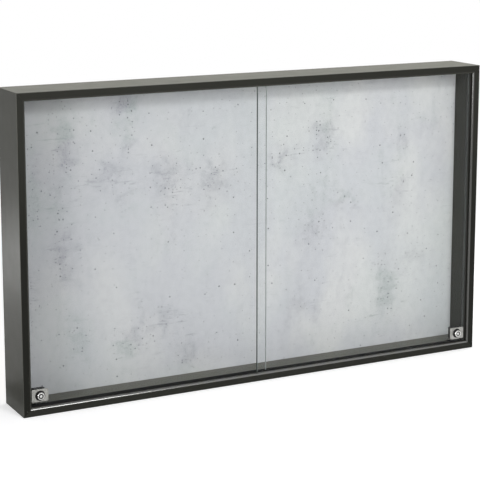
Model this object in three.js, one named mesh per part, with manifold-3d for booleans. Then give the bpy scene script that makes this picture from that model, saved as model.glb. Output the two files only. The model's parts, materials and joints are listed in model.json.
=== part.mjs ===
// Wall display case for knives: four mitred boards round a concrete-look panel, closed by two
// frameless sliding glass doors that run in double tracks, with a key lock in each door.
// Millimetres. X runs to the right, Y to the back, Z up. The origin is under the middle of the case.

import * as THREE from "three";
import { mergeVertices } from "three/addons/utils/BufferGeometryUtils.js";
import Module from "manifold-3d";

const wasm = await Module();
wasm.setup();

// Case and boards
const caseWidth = 1000;
const caseHeight = 600;
const caseDepth = 100;
const boardThickness = 16;
const outerArris = 1;
const innerArris = 4;
const arrisSteps = 5;
const mitreGap = 0.15;

// Fits between pieces
const fitGap = 0.3;
const cutOverrun = 2;
const screwBiteShare = 0.6;
const screwRimShare = 0.2;
const panCrownShare = 0.33;
const roundSides = 32;
const screwSides = 14;

// Loose tongues in the mitres
const splineWidth = 10;
const splineThickness = 3;
const splineMargin = 5;

// Display panel
const panelSetback = 78;
const panelThickness = 6;
const panelGrooveDepth = 5;

// Glass doors
const glassThickness = 5;
const glassArris = 0.5;
const doorOverlap = 23.2;
const doorEdgeGap = 0.7;

// Double tracks at the bottom and the top
const trackSetback = 6.5;
const trackWeb = 1.5;
const ribThickness = 1.6;
const ribTipArris = 0.4;
const glassClearance = 0.5;
const bottomGrooveDepth = 6;
const bottomRibProud = 1;
const topWall = 5.5;
const topRibProud = 0.6;
const doorLift = 4.3;
const stripThickness = 1;
const stripEndGap = 2;
const trackScrewHead = 2.5;
const trackScrewHeadHeight = 1.1;
const trackScrewShank = 1.3;
const trackScrewSpreadShare = 0.42;

// Channels for the closed doors' outer edges
const channelWeb = 1;
const channelLip = 3;
const channelLipThickness = 1.2;
const channelGlassGap = 0.8;

// Rear rails and their screws
const railThickness = 12;
const railHeight = 40;
const railSeat = 18;
const railScrewHead = 4;
const railScrewHeadHeight = 2.4;
const railScrewShank = 2;
const railScrewSpreadShare = 0.42;

// Keyhole hangers and wall bumpers
const hangerWidth = 58;
const hangerHeight = 26;
const hangerThickness = 1.5;
const hangerCorner = 6;
const hangerSpreadShare = 0.36;
const hangerScrewReach = 21;
const hangerScrewHead = 3;
const hangerScrewHeadHeight = 1.2;
const hangerScrewShank = 1.6;
const hangerScrewLength = 9;
const keyholeHead = 5;
const keyholeNeck = 2.5;
const keyholeRise = 11;
const keyholeDrop = 5;
const hangerPocketWidth = 18;
const hangerPocketHeight = 24;
const hangerPocketDepth = 8;
const bumperRadius = 8;
const bumperArris = 0.8;

// Lock: plate, boss and shank
const lockPlateWidth = 33;
const lockPlateMargin = 2.5;
const lockPlateThickness = 1.5;
const lockPlateCorner = 2;
const lockPlateArris = 0.4;
const lockRise = 6;
const bossHeight = 5.6;
const bossBaseRadius = 9.75;
const bossFaceRadius = 7.2;
const bossRounding = 0.8;
const shankStep = 0.55;
const shankSpigot = 1.5;
const glassHoleGap = 0.35;
const gasketThickness = 0.6;
const gasketInset = 0.8;

// Lock: turning plug
const keywayRadius = 4.95;
const keywayDepth = 5.5;
const corePostRadius = 2.65;
const coreSetback = 0.4;
const coreNotch = 1;
const camThickness = 2;
const camLugRadius = 2.4;
const pinRadius = 1.3;
const pinSlotGap = 0.25;
const restTurn = Math.PI / 4;

// Lock: bolt and case
const boltThrow = 5.6;
const boltThickness = 3;
const boltWall = 1.6;
const boltTail = 1.5;
const boltLeadIn = 0.8;
const boltSlotEndShare = 0.99;
const lockCaseWidth = 25;
const lockCaseWall = 2;
const lockCaseCorner = 2.5;
const lockCaseArris = 0.6;
const lockScrewSideShare = 0.64;
const lockScrewHead = 2.3;
const lockScrewHeadHeight = 1.2;
const lockScrewShank = 1.25;
const lockScrewLength = 13.6;

// Keeper for the bolt
const keeperThickness = 4.4;
const keeperWidth = 20;
const keeperLength = 21;
const keeperLip = 1.5;
const keeperArris = 0.6;
const keeperScrewInset = 5;
const keeperScrewReach = 6;
const keeperScrewHead = 2.6;
const keeperScrewHeadHeight = 1.5;
const keeperScrewShank = 1.3;

// Places that follow from the sizes above
const innerHalfWidth = caseWidth / 2 - boardThickness;
const innerFloor = boardThickness;
const innerCeiling = caseHeight - boardThickness;
const panelBack = panelSetback + panelThickness;
const trackGroove = glassThickness + 2 * glassClearance;
const trackWidth = 3 * ribThickness + 2 * trackGroove;
const trackRear = trackSetback + trackWidth;
const frontGlassFace = trackSetback + ribThickness + glassClearance;
const rearGlassFace = frontGlassFace + trackGroove + ribThickness;
const topGrooveDepth = boardThickness - topWall;
const bottomGrooveFloor = innerFloor - bottomGrooveDepth;
const bottomRibTop = innerFloor + bottomRibProud;
const stripBottom = bottomGrooveFloor + fitGap + trackWeb + fitGap;
const stripTop = stripBottom + stripThickness;
const topGrooveCeiling = innerCeiling + topGrooveDepth;
const topRibEnd = innerCeiling - topRibProud;
const glassBottom = stripTop + fitGap;
const glassTop = topGrooveCeiling - fitGap - trackWeb - doorLift;
const railBack = panelBack + fitGap + railThickness;
const channelDepth = fitGap + channelWeb + channelLip;
const doorOuterEdge = innerHalfWidth - fitGap - channelWeb - doorEdgeGap;
const doorInnerEdge = -doorOverlap / 2;
const shankRadius = bossBaseRadius - shankStep;
const lockPlateHeight = 2 * (bossBaseRadius + lockPlateMargin);
const lockAcross = innerHalfWidth - channelDepth - fitGap - lockPlateWidth / 2;
const lockHeight = innerFloor + lockRise + lockPlateHeight / 2;

// Finishes
const boardFinish = new THREE.MeshStandardMaterial({ color: 0x41423d, roughness: 0.55 });
const panelFinish = new THREE.MeshStandardMaterial({ color: 0xc6c9cb, roughness: 0.8 });
const glassFinish = new THREE.MeshStandardMaterial({
  color: 0xdfe9e6,
  roughness: 0.05,
  transparent: true,
  opacity: 0.25,
});
const steelFinish = new THREE.MeshStandardMaterial({ color: 0xb9bbbd, roughness: 0.35, metalness: 1 });
const zincFinish = new THREE.MeshStandardMaterial({ color: 0x2c2d2e, roughness: 0.55, metalness: 0.4 });
const trackFinish = new THREE.MeshStandardMaterial({ color: 0x1c1c1c, roughness: 0.5 });
const stripFinish = new THREE.MeshStandardMaterial({ color: 0x303030, roughness: 0.4 });
const channelFinish = new THREE.MeshStandardMaterial({ color: 0x55564f, roughness: 0.4, metalness: 1 });
const rubberFinish = new THREE.MeshStandardMaterial({ color: 0x202020, roughness: 0.9 });
const woodFinish = new THREE.MeshStandardMaterial({ color: 0x9b7b55, roughness: 0.8 });

// Joining and cutting: a closed geometry becomes a solid and comes back as a geometry
function solidOf(geometry) {
  const bare = new THREE.BufferGeometry();
  bare.setAttribute("position", geometry.attributes.position);
  bare.setIndex(geometry.index);
  const merged = mergeVertices(bare);
  const corners = merged.index.array;
  const triangles = [];
  for (let i = 0; i < corners.length; i += 3) {
    const [a, b, c] = [corners[i], corners[i + 1], corners[i + 2]];
    if (a !== b && b !== c && c !== a) triangles.push(a, b, c);
  }
  return new wasm.Manifold(new wasm.Mesh({
    numProp: 3,
    vertProperties: new Float32Array(merged.attributes.position.array),
    triVerts: new Uint32Array(triangles),
  }));
}

function geometryOf(solid) {
  const mesh = solid.getMesh();
  const geometry = new THREE.BufferGeometry();
  geometry.setAttribute("position", new THREE.BufferAttribute(new Float32Array(mesh.vertProperties), 3));
  geometry.setIndex(new THREE.BufferAttribute(new Uint32Array(mesh.triVerts), 1));
  geometry.computeVertexNormals();
  return geometry;
}

function join(...geometries) {
  return geometryOf(geometries.map(solidOf).reduce((whole, next) => whole.add(next)));
}

function cut(body, ...tools) {
  return geometryOf(tools.map(solidOf).reduce((rest, tool) => rest.subtract(tool), solidOf(body)));
}

function common(first, second) {
  return geometryOf(solidOf(first).intersect(solidOf(second)));
}

// Basic forms
function block([x0, x1], [y0, y1], [z0, z1]) {
  const geometry = new THREE.BoxGeometry(Math.abs(x1 - x0), y1 - y0, z1 - z0);
  return geometry.translate((x0 + x1) / 2, (y0 + y1) / 2, (z0 + z1) / 2);
}

function rod(radius, [y0, y1], x = 0, z = 0, sides = roundSides) {
  const geometry = new THREE.CylinderGeometry(radius, radius, y1 - y0, sides);
  return geometry.translate(x, (y0 + y1) / 2, z);
}

function turned(outline, sides = roundSides) {
  const points = outline.map(([radius, y]) => new THREE.Vector2(radius, y));
  return new THREE.LatheGeometry(points, sides);
}

// An outline in X and Z, given its thickness along Y
function plate(shape, [y0, y1], arris = 0, curveSegments = arrisSteps) {
  const geometry = new THREE.ExtrudeGeometry(shape, {
    depth: y1 - y0 - 2 * arris,
    bevelEnabled: arris > 0,
    bevelThickness: arris,
    bevelSize: arris,
    bevelOffset: -arris,
    bevelSegments: 1,
    curveSegments,
  });
  return geometry.rotateX(Math.PI / 2).translate(0, y1 - arris, 0);
}

// An outline in Y and Z, run along X
function runAcross(shape, [x0, x1], curveSegments = arrisSteps) {
  const geometry = new THREE.ExtrudeGeometry(shape, { depth: x1 - x0, bevelEnabled: false, curveSegments });
  geometry.applyMatrix4(profileToBoard);
  return geometry.translate(x0, 0, 0);
}

// Profile X to the case's Y, profile Y to its Z, length to its X
const profileToBoard = new THREE.Matrix4().makeBasis(
  new THREE.Vector3(0, 1, 0),
  new THREE.Vector3(0, 0, 1),
  new THREE.Vector3(1, 0, 0),
);

function roundedRectangle(width, height, radius) {
  const shape = new THREE.Shape();
  const x = width / 2;
  const y = height / 2;
  shape.moveTo(radius - x, -y);
  shape.absarc(x - radius, radius - y, radius, -Math.PI / 2, 0, false);
  shape.absarc(x - radius, y - radius, radius, 0, Math.PI / 2, false);
  shape.absarc(radius - x, y - radius, radius, Math.PI / 2, Math.PI, false);
  shape.absarc(radius - x, radius - y, radius, Math.PI, 1.5 * Math.PI, false);
  return shape;
}

function circlePath(radius, x = 0, y = 0) {
  return new THREE.Path().absarc(x, y, radius, 0, 2 * Math.PI, true);
}

function polygonShape(points) {
  return new THREE.Shape(points.map(([x, y]) => new THREE.Vector2(x, y)));
}

// Screws stand with the top of the head at the origin and the shank along +Y
const aims = { back: 0, up: Math.PI / 2, front: Math.PI, down: -Math.PI / 2 };

function countersunkScrew({ head, headHeight, shank, length }) {
  const rim = headHeight * screwRimShare;
  return turned([
    [0, 0],
    [head, 0],
    [head, rim],
    [shank, headHeight],
    [shank, length - shank],
    [0, length],
  ], screwSides);
}

function panScrew({ head, headHeight, shank, length }) {
  const crown = headHeight * panCrownShare;
  return turned([
    [0, 0],
    [head - crown, 0],
    [head, crown],
    [head, headHeight],
    [shank, headHeight],
    [shank, length - shank],
    [0, length],
  ], screwSides);
}

// The hole that a screw needs, open for some way above its head
function screwHole({ head, headHeight, shank, length }, openWay, flat) {
  const wide = head + fitGap;
  const narrow = shank + fitGap;
  const cone = flat ? headHeight * screwRimShare : headHeight + fitGap;
  return turned([
    [0, -openWay],
    [wide, -openWay],
    [wide, cone],
    [narrow, headHeight + fitGap],
    [narrow, length + fitGap],
    [0, length + fitGap],
  ], screwSides);
}

function aimed(geometry, aim, [x, y, z]) {
  return geometry.rotateX(aims[aim]).translate(x, y, z);
}

function piece(name, geometry, material, [x, y, z] = [0, 0, 0]) {
  const mesh = new THREE.Mesh(geometry, material);
  mesh.name = name;
  mesh.position.set(x, y, z);
  return mesh;
}

function screwPiece(name, geometry, aim, place) {
  const mesh = piece(name, geometry, steelFinish, place);
  mesh.rotation.x = aims[aim];
  return mesh;
}

const sides = [["left", -1], ["right", 1]];

// Screws and where they stand
function trackScrewInto(wood) {
  return {
    head: trackScrewHead,
    headHeight: trackScrewHeadHeight,
    shank: trackScrewShank,
    length: trackWeb + fitGap + wood * screwBiteShare,
  };
}

const trackScrews = {
  bottom: trackScrewInto(boardThickness - bottomGrooveDepth),
  top: trackScrewInto(topWall),
};
const trackScrewPlaces = [
  ["left", -trackScrewSpreadShare * caseWidth],
  ["middle", 0],
  ["right", trackScrewSpreadShare * caseWidth],
];
const trackScrewSetback = frontGlassFace + glassThickness / 2;
const trackWebTop = bottomGrooveFloor + fitGap + trackWeb;
const topWebUnder = topGrooveCeiling - fitGap - trackWeb;

const railScrew = {
  head: railScrewHead,
  headHeight: railScrewHeadHeight,
  shank: railScrewShank,
  length: railSeat + boardThickness * screwBiteShare,
};
const railMiddle = panelBack + fitGap + railThickness / 2;
const railScrewAcross = railScrewSpreadShare * caseWidth;
const railScrewBottom = innerFloor + railSeat;
const railScrewTop = innerCeiling - railSeat;

const hangerScrew = {
  head: hangerScrewHead,
  headHeight: hangerScrewHeadHeight,
  shank: hangerScrewShank,
  length: hangerScrewLength,
};
const hangerFront = railBack + fitGap;
const hangerBack = hangerFront + hangerThickness;
const hangerAcross = hangerSpreadShare * caseWidth;
const hangerMiddle = innerCeiling - fitGap - railHeight / 2;

// Boards
function notch(shape, from, to, depth) {
  shape.lineTo(from, boardThickness);
  shape.lineTo(from, boardThickness - depth);
  shape.lineTo(to, boardThickness - depth);
  shape.lineTo(to, boardThickness);
}

function boardProfile(trackGrooveDepth) {
  const shape = new THREE.Shape();
  shape.moveTo(outerArris, 0);
  shape.lineTo(caseDepth, 0);
  shape.lineTo(caseDepth, boardThickness);
  notch(shape, panelBack + fitGap, panelSetback - fitGap, panelGrooveDepth);
  if (trackGrooveDepth > 0) notch(shape, trackRear + fitGap, trackSetback - fitGap, trackGrooveDepth);
  shape.absarc(innerArris, boardThickness - innerArris, innerArris, Math.PI / 2, Math.PI, false);
  shape.absarc(outerArris, outerArris, outerArris, Math.PI, 1.5 * Math.PI, false);
  return shape;
}

// A board lies with its outer face down; its ends are drawn in by the distance from that face
function mitredBoard(length, trackGrooveDepth) {
  const geometry = new THREE.ExtrudeGeometry(boardProfile(trackGrooveDepth), {
    depth: length,
    bevelEnabled: false,
    curveSegments: arrisSteps,
  });
  const points = geometry.attributes.position;
  for (let i = 0; i < points.count; i += 1) {
    const drawnIn = points.getY(i) + mitreGap;
    points.setZ(i, points.getZ(i) > length / 2 ? length - drawnIn : drawnIn);
  }
  geometry.applyMatrix4(profileToBoard).translate(-length / 2, 0, 0);
  const pockets = sides.map(([, side]) => splineForm(fitGap, side)
    .translate(side * (length - boardThickness) / 2, 0, boardThickness / 2));
  return cut(geometry, ...pockets);
}

// The loose tongue crosses the mitre at a right angle, half in each board
function splineForm(grow, side) {
  const geometry = block(
    [-splineWidth / 2 - grow, splineWidth / 2 + grow],
    [trackRear + splineMargin - grow, panelSetback - splineMargin + grow],
    [-splineThickness / 2 - grow, splineThickness / 2 + grow],
  );
  return geometry.rotateY(-side * Math.PI / 4);
}

// Lock, in its own frame: the glass front face is at Y zero, and U runs towards the outer edge
const gasketBack = -fitGap;
const gasketFront = gasketBack - gasketThickness;
const lockPlateBack = gasketFront - fitGap;
const lockPlateFront = lockPlateBack - lockPlateThickness;
const bossFace = lockPlateFront - bossHeight;
const lockCaseFront = glassThickness + fitGap;
const shankEnd = lockCaseFront + shankSpigot;
const camFront = shankEnd + fitGap;
const camBack = camFront + camThickness;
const boltFront = camBack + fitGap;
const boltBack = boltFront + boltThickness;
const lockCaseBack = boltBack + fitGap + lockCaseWall;
const pinOffset = boltThrow * Math.SQRT1_2;
const pinHigh = boltThrow / 2;
const pinReach = pinRadius + pinSlotGap;
const slotInner = pinHigh - pinRadius - fitGap;
const slotOuter = pinOffset + pinRadius + fitGap;
const boltOuter = slotOuter + boltWall;
const boltTop = pinHigh + pinReach + boltWall;
const boltTip = -lockPlateHeight / 2 + fitGap;
const boltMiddle = (boltOuter - boltTail) / 2;
const lockScrewCircle = (keywayRadius + shankRadius) / 2;
const lockScrewSide = -lockScrewSideShare * lockScrewCircle;
const lockScrewHigh = Math.sqrt(lockScrewCircle ** 2 - lockScrewSide ** 2);
const lockScrewPlaces = [["upper", lockScrewHigh], ["lower", -lockScrewHigh]];
const lockScrew = {
  head: lockScrewHead,
  headHeight: lockScrewHeadHeight,
  shank: lockScrewShank,
  length: lockScrewLength,
};

function lockScrewHoles(side) {
  return lockScrewPlaces.map(([, z]) => aimed(
    screwHole(lockScrew, cutOverrun, true),
    "front",
    [side * lockScrewSide, lockCaseBack, z],
  ));
}

function lockFront(side) {
  const waist = (lockPlateFront + lockPlateBack) / 2;
  const barrel = turned([
    [keywayRadius, bossFace],
    [bossFaceRadius - bossRounding, bossFace],
    [bossFaceRadius, bossFace + bossRounding],
    [bossBaseRadius, lockPlateFront],
    [bossBaseRadius, waist],
    [shankRadius, waist],
    [shankRadius, shankEnd],
    [keywayRadius, shankEnd],
    [keywayRadius, bossFace],
  ]);
  const outline = roundedRectangle(lockPlateWidth, lockPlateHeight, lockPlateCorner);
  outline.holes.push(circlePath((keywayRadius + shankRadius) / 2));
  const face = plate(outline, [lockPlateFront, lockPlateBack], lockPlateArris);
  const index = block(
    [-coreNotch / 2, coreNotch / 2],
    [bossFace - cutOverrun, bossFace + keywayDepth],
    [keywayRadius - coreNotch / 2, keywayRadius + coreNotch],
  );
  return cut(join(face, barrel), index, ...lockScrewHoles(side));
}

function lockGasket() {
  const outline = roundedRectangle(lockPlateWidth - 2 * gasketInset, lockPlateHeight - 2 * gasketInset,
    lockPlateCorner - gasketInset);
  outline.holes.push(circlePath(shankRadius + fitGap));
  return plate(outline, [gasketFront, gasketBack], 0, roundSides / 4);
}

function lockCase(side) {
  const outline = roundedRectangle(lockCaseWidth, lockPlateHeight, lockCaseCorner);
  const body = plate(outline, [lockCaseFront, lockCaseBack], lockCaseArris);
  const chamber = [shankEnd - fitGap, boltFront];
  const camSide = -camLugRadius * Math.SQRT1_2 - fitGap;
  const camRoom = common(
    rod(pinOffset + camLugRadius + fitGap, chamber),
    block([side * camSide, side * lockCaseWidth], chamber, [-lockPlateHeight, lockPlateHeight]),
  );
  const boltRoom = block(
    [side * (-boltTail - fitGap), side * (boltOuter + fitGap)],
    [camBack, boltBack + fitGap],
    [-lockPlateHeight, boltTop + fitGap],
  );
  return cut(
    body,
    rod(shankRadius + fitGap, [lockCaseFront - cutOverrun, shankEnd + fitGap]),
    rod(keywayRadius, chamber),
    camRoom,
    boltRoom,
    ...lockScrewHoles(side),
  );
}

function lockPlug(side) {
  const plugRadius = keywayRadius - fitGap;
  const coreFront = bossFace + coreSetback;
  const keywayFloor = coreFront + keywayDepth;
  const body = turned([
    [0, coreFront],
    [corePostRadius, coreFront],
    [corePostRadius, keywayFloor],
    [plugRadius, keywayFloor],
    [plugRadius, camBack],
    [0, camBack],
  ]);
  const lug = new THREE.Shape();
  lug.moveTo(0, -camLugRadius);
  lug.absarc(pinOffset, 0, camLugRadius, -Math.PI / 2, Math.PI / 2, false);
  lug.lineTo(0, camLugRadius);
  const arm = join(
    plate(lug, [camFront, camBack], 0, roundSides / 2),
    rod(pinRadius, [camFront, boltBack - fitGap], pinOffset, 0, roundSides / 2),
  );
  const notchTool = block(
    [corePostRadius - coreNotch, corePostRadius + cutOverrun],
    [coreFront - cutOverrun, coreFront + coreNotch],
    [-coreNotch / 2, coreNotch / 2],
  );
  const turn = side > 0 ? -restTurn : restTurn - Math.PI;
  return cut(join(body, arm), notchTool).rotateY(turn);
}

function lockBolt(side) {
  const outline = polygonShape([
    [-boltTail, boltTop],
    [-boltTail, boltTip + boltLeadIn],
    [boltLeadIn - boltTail, boltTip],
    [boltOuter - boltLeadIn, boltTip],
    [boltOuter, boltTip + boltLeadIn],
    [boltOuter, boltTop],
  ].map(([u, z]) => [side * u, z]));
  const slot = roundedRectangle(slotOuter - slotInner, 2 * pinReach, pinReach * boltSlotEndShare);
  const slotTool = plate(slot, [boltFront - cutOverrun, boltBack + cutOverrun])
    .translate(side * (slotInner + slotOuter) / 2, 0, pinHigh);
  return cut(plate(outline, [boltFront, boltBack]), slotTool);
}

function addLock(group, name, side) {
  group.add(
    piece(`lock_front_${name}`, lockFront(side), steelFinish),
    piece(`lock_gasket_${name}`, lockGasket(), rubberFinish),
    piece(`lock_case_${name}`, lockCase(side), zincFinish),
    piece(`lock_plug_${name}`, lockPlug(side), steelFinish),
    piece(`lock_bolt_${name}`, lockBolt(side), steelFinish),
  );
  for (const [level, z] of lockScrewPlaces) {
    group.add(screwPiece(
      `lock_screw_${name}_${level}`,
      countersunkScrew(lockScrew),
      "front",
      [side * lockScrewSide, lockCaseBack, z],
    ));
  }
}

// Keepers stand on the bottom board; the part over a track rib is stepped up
const keeperScrew = {
  head: keeperScrewHead,
  headHeight: keeperScrewHeadHeight,
  shank: keeperScrewShank,
  length: keeperThickness + boardThickness * screwBiteShare,
};
const keeperTop = innerFloor + fitGap + keeperThickness;

function keeperPlace(side, glassFace) {
  const across = side * (lockAcross + boltMiddle);
  const front = glassFace + boltFront - fitGap - keeperLip;
  return { across, front, back: front + keeperLength };
}

function keeperScrewHoles(side, glassFace) {
  const { across, back } = keeperPlace(side, glassFace);
  return sides.map(([, way]) => aimed(
    screwHole(keeperScrew, cutOverrun, true),
    "down",
    [across + way * keeperScrewReach, back - keeperScrewInset, keeperTop],
  ));
}

function boltWay(side, glassFace) {
  return block(
    [-boltTail - fitGap, boltOuter + fitGap].map((u) => side * (lockAcross + u)),
    [glassFace + boltFront - fitGap, glassFace + boltBack + fitGap],
    [innerFloor - cutOverrun, keeperTop + cutOverrun],
  );
}

function keeper(side, glassFace) {
  const { across, front, back } = keeperPlace(side, glassFace);
  const floor = innerFloor + fitGap;
  const raised = bottomRibTop + fitGap;
  const stepBack = trackRear + fitGap;
  const underside = front < stepBack
    ? [[back, floor], [stepBack, floor], [stepBack, raised], [front, raised]]
    : [[back, floor], [front, floor]];
  const profile = polygonShape([
    ...underside,
    [front, keeperTop - keeperArris],
    [front + keeperArris, keeperTop],
    [back - keeperArris, keeperTop],
    [back, keeperTop - keeperArris],
  ]);
  return cut(
    runAcross(profile, [across - keeperWidth / 2, across + keeperWidth / 2]),
    boltWay(side, glassFace),
    ...keeperScrewHoles(side, glassFace),
  );
}

// Tracks: a web with three ribs; the ribs stand up at the bottom and hang down at the top
function trackProfile(web, ribEnd) {
  const way = Math.sign(ribEnd - web);
  const base = web - way * trackWeb;
  const points = [[trackRear, base], [trackRear, ribEnd - way * ribTipArris]];
  for (const rib of [2, 1, 0]) {
    const front = trackSetback + rib * (trackGroove + ribThickness);
    const back = front + ribThickness;
    if (rib < 2) points.push([back, web], [back, ribEnd - way * ribTipArris]);
    points.push([back - ribTipArris, ribEnd], [front + ribTipArris, ribEnd]);
    points.push([front, ribEnd - way * ribTipArris]);
    points.push([front, rib > 0 ? web : base]);
  }
  return polygonShape(points);
}

function track(web, ribEnd, screw, aim) {
  const length = innerHalfWidth - fitGap;
  const holes = trackScrewPlaces.map(([, x]) => aimed(
    screwHole(screw, cutOverrun, true),
    aim,
    [x, trackScrewSetback, web],
  ));
  return cut(runAcross(trackProfile(web, ribEnd), [-length, length]), ...holes);
}

// Strips lie on the web under each door's travel, and stop short of the other door's lock
function runStrip(side, glassFace) {
  const outer = side * (innerHalfWidth - fitGap);
  const inner = side * (lockPlateWidth / 2 + stripEndGap - lockAcross);
  const middle = glassFace + glassThickness / 2;
  return block(
    side > 0 ? [inner, outer] : [outer, inner],
    [middle - glassThickness / 2, middle + glassThickness / 2],
    [stripBottom, stripTop],
  );
}

// A channel on the side board, open towards the door that closes into it
function sideChannel(side, glassFace) {
  const wall = innerHalfWidth - fitGap;
  const lipEnd = wall - channelWeb - channelLip;
  const front = glassFace - channelGlassGap;
  const back = glassFace + glassThickness + channelGlassGap;
  const profile = polygonShape([
    [wall, front - channelLipThickness],
    [wall, back + channelLipThickness],
    [lipEnd, back + channelLipThickness],
    [lipEnd, back],
    [wall - channelWeb, back],
    [wall - channelWeb, front],
    [lipEnd, front],
    [lipEnd, front - channelLipThickness],
  ].map(([x, y]) => [side * x, y]));
  const low = bottomRibTop + fitGap;
  const high = topRibEnd - fitGap;
  return new THREE.ExtrudeGeometry(profile, { depth: high - low, bevelEnabled: false }).translate(0, 0, low);
}

// A door glass, with ground arrises and a hole for the lock
function doorGlass(side) {
  const [low, high] = [doorInnerEdge, doorOuterEdge].map((x) => side * x).sort((a, b) => a - b);
  const shape = polygonShape([[low, glassBottom], [high, glassBottom], [high, glassTop], [low, glassTop]]);
  const holeRadius = shankRadius + glassHoleGap;
  const hole = rod(holeRadius, [-cutOverrun, glassThickness + cutOverrun], side * lockAcross, lockHeight);
  return cut(plate(shape, [0, glassThickness], glassArris), hole);
}

// Rails, with counterbored screws and, at the top, a pocket behind each hanger
function rail(low, aim, screwLevel) {
  const body = block(
    [fitGap - innerHalfWidth, innerHalfWidth - fitGap],
    [panelBack + fitGap, railBack],
    [low, low + railHeight],
  );
  const holes = sides.map(([, side]) => aimed(
    screwHole(railScrew, railHeight, false),
    aim,
    [side * railScrewAcross, railMiddle, screwLevel],
  ));
  return { body, holes };
}

function hangerPocket(side) {
  return block(
    [side * hangerAcross - hangerPocketWidth / 2, side * hangerAcross + hangerPocketWidth / 2],
    [railBack - hangerPocketDepth, railBack + cutOverrun],
    [hangerMiddle - hangerPocketHeight / 2, hangerMiddle + hangerPocketHeight / 2],
  );
}

function hangerScrewHoles(side) {
  return sides.map(([, way]) => aimed(
    screwHole(hangerScrew, cutOverrun, true),
    "front",
    [side * hangerAcross + way * hangerScrewReach, hangerBack, hangerMiddle],
  ));
}

// A round mouth for the wall screw's head, and a narrow neck above it
function hangerPlate() {
  const outline = roundedRectangle(hangerWidth, hangerHeight, hangerCorner);
  const meet = Math.asin(keyholeNeck / keyholeHead);
  const keyhole = new THREE.Path();
  keyhole.absarc(0, -keyholeDrop, keyholeHead, Math.PI / 2 + meet, 2.5 * Math.PI - meet, false);
  keyhole.absarc(0, keyholeRise - keyholeDrop, keyholeNeck, 0, Math.PI, false);
  outline.holes.push(keyhole);
  return plate(outline, [hangerFront, hangerBack], 0, roundSides / 4).translate(0, 0, hangerMiddle);
}

function wallBumper() {
  const front = railBack + fitGap;
  return turned([
    [0, front],
    [bumperRadius, front],
    [bumperRadius, caseDepth - bumperArris],
    [bumperRadius - bumperArris, caseDepth],
    [0, caseDepth],
  ], roundSides);
}

// The case
const glassFaces = { left: rearGlassFace, right: frontGlassFace };
const displayCase = new THREE.Group();
displayCase.position.y = -caseDepth / 2;

// Each board is laid down, turned to its side of the case and cut where fittings enter it
function addBoard(name, length, trackGrooveDepth, turn, away, ...tools) {
  const board = mitredBoard(length, trackGrooveDepth).translate(0, 0, -away);
  const middle = caseHeight / 2;
  const inPlace = board.rotateY(turn).translate(0, 0, middle);
  displayCase.add(piece(name, tools.length > 0 ? cut(inPlace, ...tools) : inPlace, boardFinish));
}

function bottomTrackScrewHoles() {
  return trackScrewPlaces.map(([, x]) => aimed(
    screwHole(trackScrews.bottom, cutOverrun, true),
    "down",
    [x, trackScrewSetback, trackWebTop],
  ));
}

function topTrackScrewHoles() {
  return trackScrewPlaces.map(([, x]) => aimed(
    screwHole(trackScrews.top, cutOverrun, true),
    "up",
    [x, trackScrewSetback, topWebUnder],
  ));
}

const railBottom = rail(innerFloor + fitGap, "down", railScrewBottom);
const railTop = rail(innerCeiling - fitGap - railHeight, "up", railScrewTop);

addBoard(
  "board_bottom", caseWidth, bottomGrooveDepth, 0, caseHeight / 2,
  ...bottomTrackScrewHoles(),
  ...railBottom.holes,
  ...sides.flatMap(([name, side]) => keeperScrewHoles(side, glassFaces[name])),
);
addBoard(
  "board_top", caseWidth, topGrooveDepth, Math.PI, caseHeight / 2,
  ...topTrackScrewHoles(),
  ...railTop.holes,
);
addBoard("board_left", caseHeight, 0, Math.PI / 2, caseWidth / 2);
addBoard("board_right", caseHeight, 0, -Math.PI / 2, caseWidth / 2);

const cornerLevels = [
  ["bottom", boardThickness / 2, 1],
  ["top", caseHeight - boardThickness / 2, -1],
];
for (const [level, z, flip] of cornerLevels) {
  for (const [name, side] of sides) {
    displayCase.add(piece(
      `corner_spline_${level}_${name}`,
      splineForm(0, side * flip),
      woodFinish,
      [side * (caseWidth - boardThickness) / 2, 0, z],
    ));
  }
}

displayCase.add(piece("display_panel", block(
  [-innerHalfWidth - panelGrooveDepth + fitGap, innerHalfWidth + panelGrooveDepth - fitGap],
  [panelSetback, panelBack],
  [innerFloor - panelGrooveDepth + fitGap, innerCeiling + panelGrooveDepth - fitGap],
), panelFinish));

// Behind the panel
displayCase.add(
  piece("rear_rail_bottom", cut(railBottom.body, ...railBottom.holes), woodFinish),
  piece("rear_rail_top", cut(
    railTop.body,
    ...railTop.holes,
    ...sides.map(([, side]) => hangerPocket(side)),
    ...sides.flatMap(([, side]) => hangerScrewHoles(side)),
  ), woodFinish),
);
for (const [name, side] of sides) {
  displayCase.add(
    screwPiece(`rail_screw_bottom_${name}`, panScrew(railScrew), "down",
      [side * railScrewAcross, railMiddle, railScrewBottom]),
    screwPiece(`rail_screw_top_${name}`, panScrew(railScrew), "up",
      [side * railScrewAcross, railMiddle, railScrewTop]),
  );
  const hangerGeometry = hangerPlate().translate(side * hangerAcross, 0, 0);
  displayCase.add(piece(
    `hanger_plate_${name}`,
    cut(hangerGeometry, ...hangerScrewHoles(side)),
    steelFinish,
  ));
  for (const [end, way] of [["inner", -side], ["outer", side]]) {
    displayCase.add(screwPiece(
      `hanger_screw_${name}_${end}`,
      countersunkScrew(hangerScrew),
      "front",
      [side * hangerAcross + way * hangerScrewReach, hangerBack, hangerMiddle],
    ));
  }
  displayCase.add(piece(`wall_bumper_${name}`, wallBumper(), rubberFinish,
    [side * hangerAcross, 0, innerFloor + fitGap + railHeight / 2]));
}

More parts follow.
